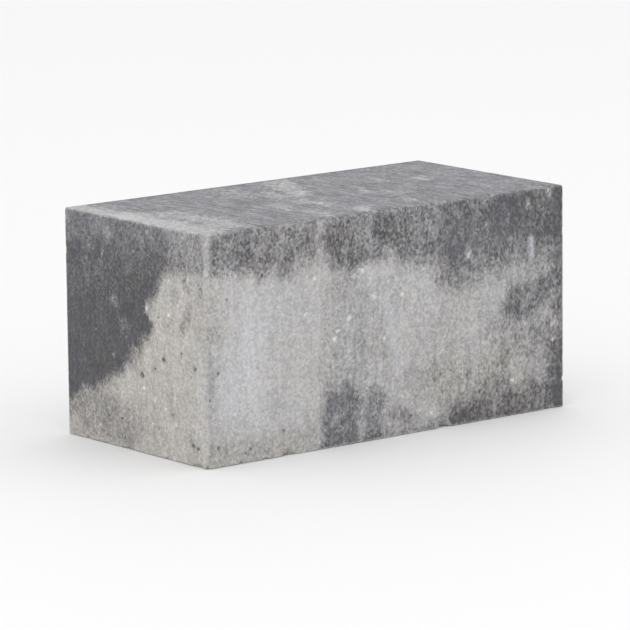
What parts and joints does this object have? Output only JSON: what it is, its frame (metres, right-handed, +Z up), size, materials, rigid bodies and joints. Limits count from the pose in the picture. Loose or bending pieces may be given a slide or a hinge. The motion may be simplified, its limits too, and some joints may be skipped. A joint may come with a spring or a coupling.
{
  "type": "concrete wall block",
  "caption": "Solid rectangular concrete block in mottled grey and charcoal, with eased edges, for garden walls and raised beds laid in running bond.",
  "frame": {"origin": "middle of the bed face, on the surface the block stands on", "axes": "+X along the wall, the block's length; +Y through the wall, away from the show face; +Z up, from bed to head"},
  "size_m": [0.3, 0.15, 0.15],
  "materials": {
    "concrete": "matt pressed concrete, light grey mottled with charcoal, sandy grain and fine drag lines"
  },
  "bodies": {
    "root": {"wall_block": "concrete"}
  },
  "joints": []
}
